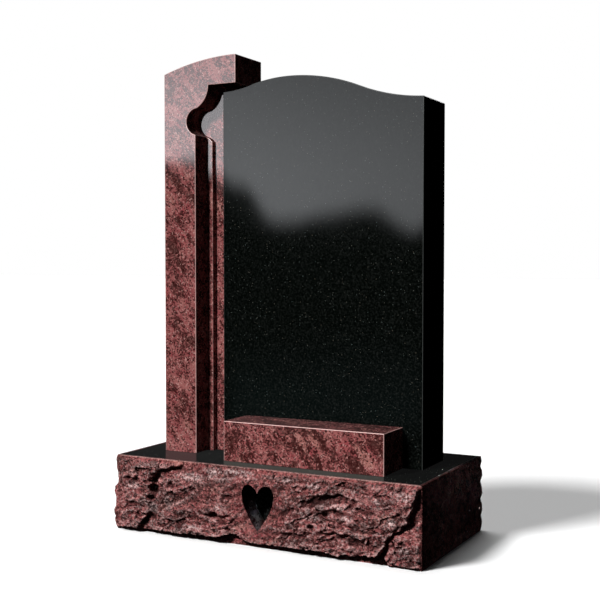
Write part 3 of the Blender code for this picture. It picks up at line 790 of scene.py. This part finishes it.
stir = add(tree, "ShaderNodeVectorMath", {0: stir, 1: (0.0030, 0.0030, 0.0030), 2: given["Place"]},
           operation="MULTIPLY_ADD").outputs[0]
small = add(tree, "ShaderNodeTexVoronoi", {"Vector": stir, "Scale": 400.0, "Randomness": 1.0})
large = add(tree, "ShaderNodeTexVoronoi", {"Vector": stir, "Scale": 235.0, "Randomness": 1.0})
small_luck = add(tree, "ShaderNodeSeparateColor", {"Color": small.outputs["Color"]}).outputs
large_luck = add(tree, "ShaderNodeSeparateColor", {"Color": large.outputs["Color"]}).outputs
share = between(tree, zone, 0.36, 0.64, 0.06, 0.72)
share = calculate(tree, "ADD", share, calculate(tree, "MULTIPLY",
                                                calculate(tree, "SUBTRACT", given["Fleck Share"], 0.5), 0.5))
share = calculate(tree, "MULTIPLY", share, calculate(tree, "MULTIPLY_ADD", crystal, -0.4))
share.node.inputs[1].links[0].from_node.inputs[2].default_value = 1.0
small_fleck = between(tree, calculate(tree, "SUBTRACT", share, small_luck[0]), -0.03, 0.03)
large_fleck = between(tree, calculate(tree, "SUBTRACT", calculate(tree, "MULTIPLY", share, 0.50), large_luck[0]),
                      -0.03, 0.03)
flecks = calculate(tree, "MAXIMUM", small_fleck, large_fleck)
glint = between(tree, small_luck[1], 0.86, 0.90)
ground = blend_colours(tree, calculate(tree, "MULTIPLY", glint, 0.50), ground, (0.68, 0.40, 0.36))
depth = between(tree, large_luck[1], 0.0, 1.0, 0.70, 0.98)
coloured = blend_colours(tree, calculate(tree, "MULTIPLY", flecks, depth), ground, given["Fleck"])
lie_small = add(tree, "ShaderNodeVectorMath", {0: small.outputs["Color"], 1: (0.5, 0.5, 0.5)}, operation="SUBTRACT")
lie_large = add(tree, "ShaderNodeVectorMath", {0: large.outputs["Color"], 1: (0.5, 0.5, 0.5)}, operation="SUBTRACT")
lie = add(tree, "ShaderNodeVectorMath", {0: lie_small.outputs[0], 1: lie_large.outputs[0]}, operation="ADD")
tree.links.new(coloured, result.inputs["Colour"])
tree.links.new(flecks, result.inputs["Flecks"])
tree.links.new(lie.outputs[0], result.inputs["Lie of Grains"])
print("red granite nodes:", len(tree.nodes))

# %% [markdown]
# ## Black granite
# The black stone is a fine gabbro, almost without pattern: a slow change between black and a green black, and thin
# scattered flakes that flash silver or bronze where one lies level with the polish.

# %% The pattern of the black granite
black_pattern, given, result = new_group(
    "black granite pattern",
    [("Place", "Vector", None), ("Dark", "Color", (0.0020, 0.0026, 0.0021, 1.0)),
     ("Light", "Color", (0.0060, 0.0074, 0.0062, 1.0)), ("Flake Share", "Float", 0.35)],
    [("Colour", "Color"), ("Flakes", "Float")])
tree = black_pattern
mottle = speckle(tree, given["Place"], 240.0, 4.0, 0.75)
ground = blend_colours(tree, between(tree, mottle, 0.44, 0.80), given["Dark"], given["Light"])
cells = add(tree, "ShaderNodeTexVoronoi", {"Vector": given["Place"], "Scale": 165.0, "Randomness": 1.0})
chance = add(tree, "ShaderNodeSeparateColor", {"Color": cells.outputs["Color"]}).outputs
kept = calculate(tree, "LESS_THAN", chance[0], given["Flake Share"])
size = between(tree, calculate(tree, "POWER", chance[1], 2.3), 0.0, 1.0, 0.05, 0.17)
flake = calculate(tree, "MULTIPLY", kept, calculate(tree, "LESS_THAN", cells.outputs["Distance"], size))
flake_colour = blend_colours(tree, chance[2], (0.21, 0.175, 0.13), (0.16, 0.22, 0.22))
tree.links.new(blend_colours(tree, flake, ground, flake_colour), result.inputs["Colour"])
tree.links.new(flake, result.inputs["Flakes"])
print("black granite nodes:", len(tree.nodes))

# %% [markdown]
# ## The arris rub and its painted highlight
# Arrises are rubbed by hand with a coarser pad, so they are paler and duller than the faces. The pale colour is laid
# on strongly, so that it also paints the bright hairline of highlight along each arris. One group serves every
# polished stone: it takes the stone's colour and the mark on the bevel's faces, and gives back the colour and the
# roughness, with the slight unevenness of a polish.

# %% The finish of arrises and faces
rub_and_painted_highlight, given, result = new_group(
    "rubbed arris",
    [("Place", "Vector", None), ("Colour", "Color", (0.5, 0.5, 0.5, 1.0)), ("Arris", "Float", 0.0),
     ("Pale", "Color", (0.5, 0.3, 0.27, 1.0)), ("Arris Share", "Float", 0.5), ("Face Roughness", "Float", 0.07),
     ("Arris Roughness", "Float", 0.35)],
    [("Colour", "Color"), ("Roughness", "Float")])
tree = rub_and_painted_highlight
uneven = between(tree, speckle(tree, given["Place"], 120.0, 3.0, 0.6), 0.3, 0.7, 0.7, 1.0)
share = calculate(tree, "MULTIPLY", calculate(tree, "MULTIPLY", given["Arris"], given["Arris Share"]), uneven)
tree.links.new(blend_colours(tree, share, given["Colour"], given["Pale"]), result.inputs["Colour"])
hazy = between(tree, speckle(tree, given["Place"], 9.0, 3.0, 0.5), 0.3, 0.7, 0.85, 1.2)
face_part = calculate(tree, "MULTIPLY", given["Face Roughness"], hazy)
rest = calculate(tree, "SUBTRACT", given["Arris Roughness"], face_part)
tree.links.new(calculate(tree, "MULTIPLY_ADD", rest, given["Arris"]), result.inputs["Roughness"])
result.inputs["Roughness"].links[0].from_node.inputs[2].default_value = 0.0
tree.links.new(face_part, result.inputs["Roughness"].links[0].from_node.inputs[2])
print("rubbed arris nodes:", len(tree.nodes))


# %% Polished stones


def new_material(name):
    material = bpy.data.materials.new(name)
    material.use_nodes = True
    tree = material.node_tree
    shader = tree.nodes["Principled BSDF"]
    place = add(tree, "ShaderNodeTexCoord").outputs["Object"]
    return material, tree, shader, place


def polish(tree, shader, place, colour, pale, arris_share, face_roughness, arris_roughness):
    """Wires a polished stone's colour and roughness through the arris group: a pale rub that is also a painted
    highlight.
    """
    mark = add(tree, "ShaderNodeAttribute", attribute_name="arris").outputs["Fac"]
    finish = use_group(tree, rub_and_painted_highlight, {
        "Place": place, "Colour": colour, "Arris": mark, "Pale": (*pale, 1.0), "Arris Share": arris_share,
        "Face Roughness": face_roughness, "Arris Roughness": arris_roughness})
    tree.links.new(finish["Colour"], shader.inputs["Base Color"])
    tree.links.new(finish["Roughness"], shader.inputs["Roughness"])


def polished_red(name, shift, cloud_share, fleck_share):
    material, tree, shader, place = new_material(name)
    moved = add(tree, "ShaderNodeMapping", {"Vector": place, "Location": shift}).outputs[0]
    stone = use_group(tree, red_pattern, {"Place": moved, "Cloud Share": cloud_share, "Fleck Share": fleck_share})
    polish(tree, shader, place, stone["Colour"], (0.85, 0.52, 0.48), 0.85, 0.045, 0.32)
    shader.inputs["IOR"].default_value = 2.06
    shader.inputs["Specular Tint"].default_value = (1.0, 0.94, 0.945, 1.0)
    return material


def polished_black(name, shift, dark, light, flake_share, roughness):
    material, tree, shader, place = new_material(name)
    moved = add(tree, "ShaderNodeMapping", {"Vector": place, "Location": shift}).outputs[0]
    stone = use_group(tree, black_pattern, {
        "Place": moved, "Dark": (*dark, 1.0), "Light": (*light, 1.0), "Flake Share": flake_share})
    polish(tree, shader, place, stone["Colour"], (0.10, 0.11, 0.105), 0.5, roughness, 0.30)
    shader.inputs["IOR"].default_value = 1.5
    return material


pillar_finish = polished_red("red granite, pillar", (0.42, 0.10, 0.27), 0.51, 0.52)
foot_finish = polished_red("red granite, foot block", (3.1, 1.7, 0.4), 0.62, 0.76)
# Lit and shaded copies of the black granite: the plate, under the strong high light, is painted darker than the
# tablet, and the heart, in the shade of its recess, lighter
tablet_finish = polished_black("black granite, tablet", (0, 0, 0), (0.0008, 0.0014, 0.0010),
                               (0.0180, 0.0205, 0.0185), 0.70, 0.045)
plate_finish = polished_black("black granite, plate", (2.0, 0.5, 0.0), (0.0010, 0.0013, 0.0011),
                              (0.0110, 0.0125, 0.0115), 0.7, 0.12)
heart_finish = polished_black("black granite, heart", (5.0, 0.2, 1.0), (0.003, 0.0036, 0.0033),
                              (0.045, 0.050, 0.047), 0.9, 0.12)
# The foot of the ledge and the corner of the wing under the arm face dark stone only, so they get no sheen. The
# ledge's own arris keeps only a quarter of the pale rub, so its painted highlight is faint.
for face in pillar.data.polygons:
    if abs(face.center.x - LEDGE_EDGE) < 0.003 and face.center.y > LEDGE_FACE - 0.002 and face.center.z < 0.86:
        pillar.data.attributes["arris"].data[face.index].value *= 0.25
tree = pillar_finish.node_tree
spot = add(tree, "ShaderNodeTexCoord").outputs["Object"]
spot = add(tree, "ShaderNodeSeparateXYZ", {"Vector": spot}).outputs


def inside_box(low, high):
    share = 1.0
    for value, start, end in zip(spot, low, high):
        share = calculate(tree, "MULTIPLY", share, calculate(tree, "GREATER_THAN", value, start))
        share = calculate(tree, "MULTIPLY", share, calculate(tree, "LESS_THAN", value, end))
    return share


ledge = calculate(tree, "MULTIPLY", between(tree, spot[2], 0.790, 0.745),
                  inside_box((INNER_EDGE - 0.0003, LEDGE_FACE - 0.0045, 0.15), (LEDGE_EDGE + 0.001, LEDGE_FACE + 0.004, 0.85)))
dull = calculate(tree, "MAXIMUM", ledge, inside_box((-0.18, -0.034, 0.938), (-0.16, -0.010, 0.9525)))
shader = tree.nodes["Principled BSDF"]
tree.links.new(calculate(tree, "MULTIPLY", calculate(tree, "SUBTRACT", 1.0, dull), 0.5),
               shader.inputs["Specular IOR Level"])
print("polished finishes:", [m.name for m in (pillar_finish, foot_finish, tablet_finish, plate_finish, heart_finish)])

# %% [markdown]
# ## The broken red granite
# A break shows the same stone as the polish does, but drier and paler, with grains standing proud by a millimetre.
# Crests are crushed white, hollows get painted shade, and the sawn rim, seat and recess are smooth. The recess and
# the right rim are painted almost black as shade, the other sawn faces darker, and the front's top arris gets a
# painted highlight. The marks made on the mesh say which is which, and a bump adds the grain below the size of the
# cells.

# %% The broken finish
base_finish, tree, shader, place = new_material("red granite, broken")
moved = add(tree, "ShaderNodeMapping", {"Vector": place, "Location": (7.3, 2.9, 5.1),
                                        "Rotation": (0.0, -1.84, 0.0)}).outputs[0]
stone = use_group(tree, red_pattern, {
    "Place": moved, "Cloud Share": 0.45, "Fleck Share": 0.50, "Rose": (0.30, 0.076, 0.076, 1.0),
    "Salmon": (0.42, 0.148, 0.138, 1.0)})
crest_mark, hollow_shade_mark, bruise_mark, sawn_mark = [
    add(tree, "ShaderNodeAttribute", attribute_name=name).outputs["Fac"]
    for name in ("crest", "hollow", "bruise", "sawn")]
broken = calculate(tree, "SUBTRACT", 1.0, sawn_mark)
crushed = between(tree, speckle(tree, moved, 190.0, 4.0, 0.75), 0.42, 0.56)
pale = calculate(tree, "MAXIMUM", calculate(tree, "MULTIPLY", crest_mark, 0.46), bruise_mark)
pale = calculate(tree, "MULTIPLY", calculate(tree, "MULTIPLY", pale, crushed), broken)
colour = blend_colours(tree, calculate(tree, "MULTIPLY", pale, 0.90), stone["Colour"], (0.78, 0.55, 0.53))
# Painted shade in the hollows of the break
painted_hollow_shade = calculate(tree, "MULTIPLY", calculate(tree, "MULTIPLY", hollow_shade_mark, 0.70), broken)
colour = blend_colours(tree, painted_hollow_shade, colour, (0.020, 0.006, 0.006))
# The painted highlight along the front's top arris
arris_highlight_mark = add(tree, "ShaderNodeAttribute", attribute_name="arris").outputs["Fac"]
colour = blend_colours(tree, calculate(tree, "MULTIPLY", arris_highlight_mark, 0.75), colour, (0.55, 0.33, 0.30))
# Painted shade: the recess walls are painted almost black and the right rim nearly as dark, as the shade on them; the
# other sawn faces are painted darker too
recess_mark = add(tree, "ShaderNodeAttribute", attribute_name="recess").outputs["Fac"]
painted_shade_share = calculate(tree, "MULTIPLY_ADD", recess_mark, 0.30)
right_rim = add(tree, "ShaderNodeSeparateXYZ", {"Vector": place}).outputs[0]
right_rim = between(tree, right_rim, 0.342, 0.344, 0.65, 0.92)
tree.links.new(calculate(tree, "MULTIPLY", sawn_mark, right_rim), painted_shade_share.node.inputs[2])
colour = blend_colours(tree, painted_shade_share, colour, (0.010, 0.002, 0.002))
tree.links.new(colour, shader.inputs["Base Color"])
dry = between(tree, broken, 0.0, 1.0, 0.45, 0.88)
tree.links.new(calculate(tree, "SUBTRACT", dry, calculate(tree, "MULTIPLY", stone["Flecks"], 0.18)),
               shader.inputs["Roughness"])
shader.inputs["IOR"].default_value = 1.2
coarse = speckle(tree, place, 140.0, 5.0, 0.7)
fine = speckle(tree, place, 420.0, 3.0, 0.6)
height = calculate(tree, "ADD", coarse, calculate(tree, "MULTIPLY", fine, 0.5))
height = calculate(tree, "MULTIPLY", height, broken)
bump = add(tree, "ShaderNodeBump", {"Strength": 1.0, "Distance": 0.006, "Height": height}).outputs[0]
tilt = add(tree, "ShaderNodeVectorMath", {0: stone["Lie of Grains"]}, operation="SCALE")
tree.links.new(calculate(tree, "MULTIPLY", broken, 0.75), tilt.inputs["Scale"])
faceted = add(tree, "ShaderNodeVectorMath", {0: bump, 1: tilt.outputs[0]}, operation="ADD").outputs[0]
faceted = add(tree, "ShaderNodeVectorMath", {0: faceted}, operation="NORMALIZE").outputs[0]
tree.links.new(faceted, shader.inputs["Normal"])
print("broken finish nodes:", len(tree.nodes))

# %% [markdown]
# ## The stones take their places
# Each modelled stone rides on the one body that the memorial is, stands in for its measured solid and gets its
# finish.

# %% Finish every stone
stones = (
    (base, "base_block", "red_granite_pitched", base_finish),
    (plate, "top_plate", "black_granite_plate", plate_finish),
    (inlay, "heart_inlay", "black_granite_heart", heart_finish),
    (pillar, "side_pillar", "red_granite_pillar", pillar_finish),
    (tablet, "tablet", "black_granite_tablet", tablet_finish),
    (foot, "foot_block", "red_granite_foot", foot_finish),
)
for piece, node, slot, finish in stones:
    piece.data.materials.clear()
    piece.data.materials.append(finish)
    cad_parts[node].data.materials.clear()
    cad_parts[node].data.materials.append(finish)
    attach(piece, "root")
    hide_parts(node)
    print(piece.name, "triangles:", triangles(piece))

# %% [markdown]
# ## Floor and studio
# The memorial stands on a plain white floor. The floor takes the light and the long soft shadow, but is hidden from
# the stones' reflections and bounces, because in the picture the undersides and the right sides stay nearly black.

# %% Lay the floor
bpy.ops.object.select_all(action="DESELECT")
bpy.ops.mesh.primitive_plane_add(size=60.0, location=(0.0, 0.0, 0.0))
floor = bpy.context.object
floor.name = "floor"
floor.visible_diffuse = False
floor.visible_glossy = False
floor_paint = bpy.data.materials.new("white floor")
floor_paint.use_nodes = True
tree = floor_paint.node_tree
tree.nodes.clear()
white = add(tree, "ShaderNodeBsdfDiffuse", {"Color": (1.0, 1.0, 1.0, 1.0)})
add(tree, "ShaderNodeOutputMaterial", {"Surface": white.outputs[0]})
floor.data.materials.append(floor_paint)

# %% [markdown]
# The key light is low and a little to the left of the front: it lights the broad polished faces evenly, reaches into
# the channel beside the pillar and leaves the right-hand faces dark. A high light from the left rakes over the
# broken face, fills its hollows with shadow and throws the long shadow on the floor. Two back lights soften that
# shadow except close to the base and show the stones' backs. Light linking says what each lamp reaches, as in a studio where the stones and
# the floor are lit apart.

# %% Hang the lights


def set_of(name, *pieces):
    """A collection that a lamp can be linked to."""
    group = bpy.data.collections.new(name)
    for piece in pieces:
        group.objects.link(piece)
    return group


def sun(name, azimuth, elevation, strength, width, lights, shaded_by=None):
    """A distant light from degrees left of the front and above the ground. Its width softens its shadows."""
    a, e = math.radians(azimuth), math.radians(elevation)
    comes_from = Vector((-math.sin(a) * math.cos(e), -math.cos(a) * math.cos(e), math.sin(e)))
    bpy.ops.object.select_all(action="DESELECT")
    bpy.ops.object.light_add(type="SUN", location=comes_from * 4)
    lamp = bpy.context.object
    lamp.name = name
    lamp.data.energy = strength
    lamp.data.angle = math.radians(width)
    lamp.rotation_euler = comes_from.to_track_quat("Z", "Y").to_euler()
    lamp.light_linking.receiver_collection = lights
    if shaded_by:
        lamp.light_linking.blocker_collection = shaded_by
    return lamp


upright_stones = set_of("lit upright stones", pillar, tablet, foot)
low_stones = set_of("lit low stones", base, plate, inlay)
sweep = set_of("lit floor", floor)
every_stone = set_of("lit stones", base, plate, inlay, pillar, tablet, foot)
sun("key light", 11.0, 21.0, 3.3, 10.0, upright_stones)
sun("block light", 20.0, 75.0, 1.5, 20.0, set_of("lit foot block", foot))
sun("high light on the base", 31.6, 47.5, 5.5, 6.0, low_stones)
sun("high light on the floor", 34.5, 47.5, 3.8, 15.0, sweep)
sun("back light on the stones", 180.0, 14.0, 0.95, 4.0, every_stone)
sun("back light on the floor", 132.0, 62.0, 1.45, 45.0, sweep)

# %% [markdown]
# In the picture the stones hardly mirror one another: the wing beside the tablet shows the bright room and not the
# pillar's inner wall. So the stones are hidden from reflections. Two low glowing cards, which only a reflection can
# see, paint the pillar's and the foot block's reflections into the plate as soft patches in front of them. The second
# has a black back, so that the tablet doesn't mirror it.

# %% Hide the stones from each other's polish


def low_card(name, low, high, colour, ahead):
    """An upright card in front of a stone's foot, seen by polish alone."""
    bpy.ops.object.select_all(action="DESELECT")
    bpy.ops.mesh.primitive_plane_add(size=1.0, location=((low.x + high.x) / 2, low.y - ahead, low.z + 0.015),
                                     rotation=(math.radians(90.0), 0.0, 0.0))
    card = bpy.context.object
    card.name = name
    card.scale = (high.x - low.x, 0.030, 1.0)
    paint = bpy.data.materials.new(name)
    paint.use_nodes = True
    tree = paint.node_tree
    tree.nodes.clear()
    glowing = add(tree, "ShaderNodeEmission", {"Color": (*colour, 1.0), "Strength": 1.0})
    add(tree, "ShaderNodeOutputMaterial", {"Surface": glowing.outputs[0]})
    card.data.materials.append(paint)
    card.visible_camera = False
    card.visible_diffuse = False
    card.visible_shadow = False


for piece in (base, plate, inlay, pillar, tablet, foot):
    piece.visible_glossy = False
low_card("card at the pillar", pillar_low, Vector((INNER_EDGE, 0.0, 0.0)), (0.19, 0.10, 0.10), 0.0004)
low_card("card at the foot block", foot_low, foot_high, (0.165, 0.15, 0.135), 0.0004)
low_card("back of the card at the foot block", foot_low, foot_high, (0.0, 0.0, 0.0), 0.0002)

# %% [markdown]
# The polished faces mirror the room, so the room matters as much as the lamps. Towards the front left it is bright
# above an uneven dark skyline, which is what draws the soft grey band over the tablet's upper third. Everything
# else that a reflection can reach is dark. What the camera sees directly behind the stones is plain white.

# %% Paint the room
world = bpy.data.worlds.new("studio")
bpy.context.scene.world = world
world.use_nodes = True
tree = world.node_tree
tree.nodes.clear()
direction = add(tree, "ShaderNodeTexCoord").outputs["Generated"]
parts = add(tree, "ShaderNodeSeparateXYZ", {"Vector": direction}).outputs
round_about = calculate(tree, "ARCTAN2", calculate(tree, "MULTIPLY", parts[0], -1.0),
                        calculate(tree, "MULTIPLY", parts[1], -1.0))
rising = calculate(tree, "ARCSINE", parts[2])
# The skyline's height in degrees at rising angles to the left of straight ahead
SKYLINE = [(14.0, 12.0), (19.0, 9.0), (20.6, 2.2), (21.7, 1.6), (22.2, 1.82), (22.6, 2.05), (22.9, 2.3),
           (23.3, 2.65), (23.7, 2.84), (24.4, 2.85), (25.2, 2.72), (25.9, 2.57), (26.7, 2.47), (27.1, 2.4),
           (27.8, 2.19), (28.6, 2.14), (29.1, 2.17), (29.4, 2.27), (29.7, 2.58), (30.1, 3.34), (30.45, 3.84),
           (30.8, 4.08), (31.2, 4.12), (31.6, 4.28), (31.9, 4.7), (33.4, 5.3), (35.0, 5.35), (42.0, 4.8)]
ramp = add(tree, "ShaderNodeValToRGB", {"Fac": between(tree, round_about, 0.0, math.radians(50.0))})
ramp.inputs["Fac"].links[0].from_node.interpolation_type = "LINEAR"
stops = ramp.color_ramp.elements
while len(stops) > 1:
    stops.remove(stops[-1])
stops[0].position = SKYLINE[0][0] / 50.0
for angle, _ in SKYLINE[1:]:
    stops.new(angle / 50.0)
for stop, (_, height) in zip(stops, SKYLINE):
    stop.color = (height / 15.0, height / 15.0, height / 15.0, 1.0)
skyline = calculate(tree, "MULTIPLY", ramp.outputs[0], math.radians(15.0))
softness = between(tree, round_about, math.radians(31.3), math.radians(32.6), math.radians(0.75), math.radians(0.42))
over = calculate(tree, "DIVIDE", calculate(tree, "SUBTRACT", rising, skyline), softness)
above = between(tree, over, -1.0, 1.0)
sector = calculate(tree, "MULTIPLY", between(tree, round_about, math.radians(2.0), math.radians(14.0)),
                   between(tree, round_about, math.radians(75.0), math.radians(50.0)))
fade_up = between(tree, rising, math.radians(2.5), math.radians(15.0), 1.12, 0.45)
left_more = between(tree, round_about, math.radians(16.0), math.radians(36.0), 0.78, 1.22)
glow = calculate(tree, "MULTIPLY", calculate(tree, "MULTIPLY", above, sector),
                 calculate(tree, "MULTIPLY", fade_up, left_more))
dim_low = calculate(tree, "MULTIPLY", between(tree, rising, math.radians(5.0), math.radians(9.5), 0.18, 0.0),
                    between(tree, round_about, math.radians(31.6), math.radians(32.0)))
glow = calculate(tree, "MULTIPLY", glow, calculate(tree, "SUBTRACT", 1.0, dim_low))
window = add(tree, "ShaderNodeVectorMath", {0: (0.95, 0.98, 1.02), "Scale": glow}, operation="SCALE").outputs[0]
to_the_back = calculate(tree, "MULTIPLY", calculate(tree, "GREATER_THAN", round_about, math.radians(100.0)),
                        calculate(tree, "GREATER_THAN", rising, 0.0))
behind = calculate(tree, "MULTIPLY", to_the_back,
                   between(tree, round_about, math.radians(160.0), math.radians(146.0), 0.006, 0.015))
to_the_front = calculate(tree, "MULTIPLY", between(tree, round_about, math.radians(20.3), math.radians(22.0)),
                         between(tree, round_about, math.radians(31.8), math.radians(31.2)))
below = calculate(tree, "MULTIPLY", to_the_front,
                  between(tree, rising, math.radians(-3.0), math.radians(-8.0), 0.0, 0.026))
below = calculate(tree, "MULTIPLY", below, between(tree, rising, math.radians(-9.6), math.radians(-8.2)))
ground_glow = add(tree, "ShaderNodeVectorMath", {0: (0.55, 0.95, 1.0), "Scale": below}, operation="SCALE").outputs[0]
room = add(tree, "ShaderNodeVectorMath", {0: window, 1: behind}, operation="ADD").outputs[0]
room = add(tree, "ShaderNodeVectorMath", {0: room, 1: ground_glow}, operation="ADD").outputs[0]
mirrored = add(tree, "ShaderNodeBackground", {"Color": room, "Strength": 2.3})
seen = add(tree, "ShaderNodeBackground", {"Color": (1.0, 1.0, 1.0, 1.0), "Strength": 1.0})
ambient = add(tree, "ShaderNodeBackground", {"Color": (0.9, 0.95, 1.0, 1.0), "Strength": 0.014})
rays = add(tree, "ShaderNodeLightPath").outputs
dim = add(tree, "ShaderNodeMixShader", {0: rays["Is Glossy Ray"], 1: ambient.outputs[0], 2: mirrored.outputs[0]})
both = add(tree, "ShaderNodeMixShader", {0: rays["Is Camera Ray"], 1: dim.outputs[0], 2: seen.outputs[0]})
add(tree, "ShaderNodeOutputWorld", {"Surface": both.outputs[0]})
bpy.context.scene.view_settings.view_transform = "Standard"
print("room nodes:", len(tree.nodes))
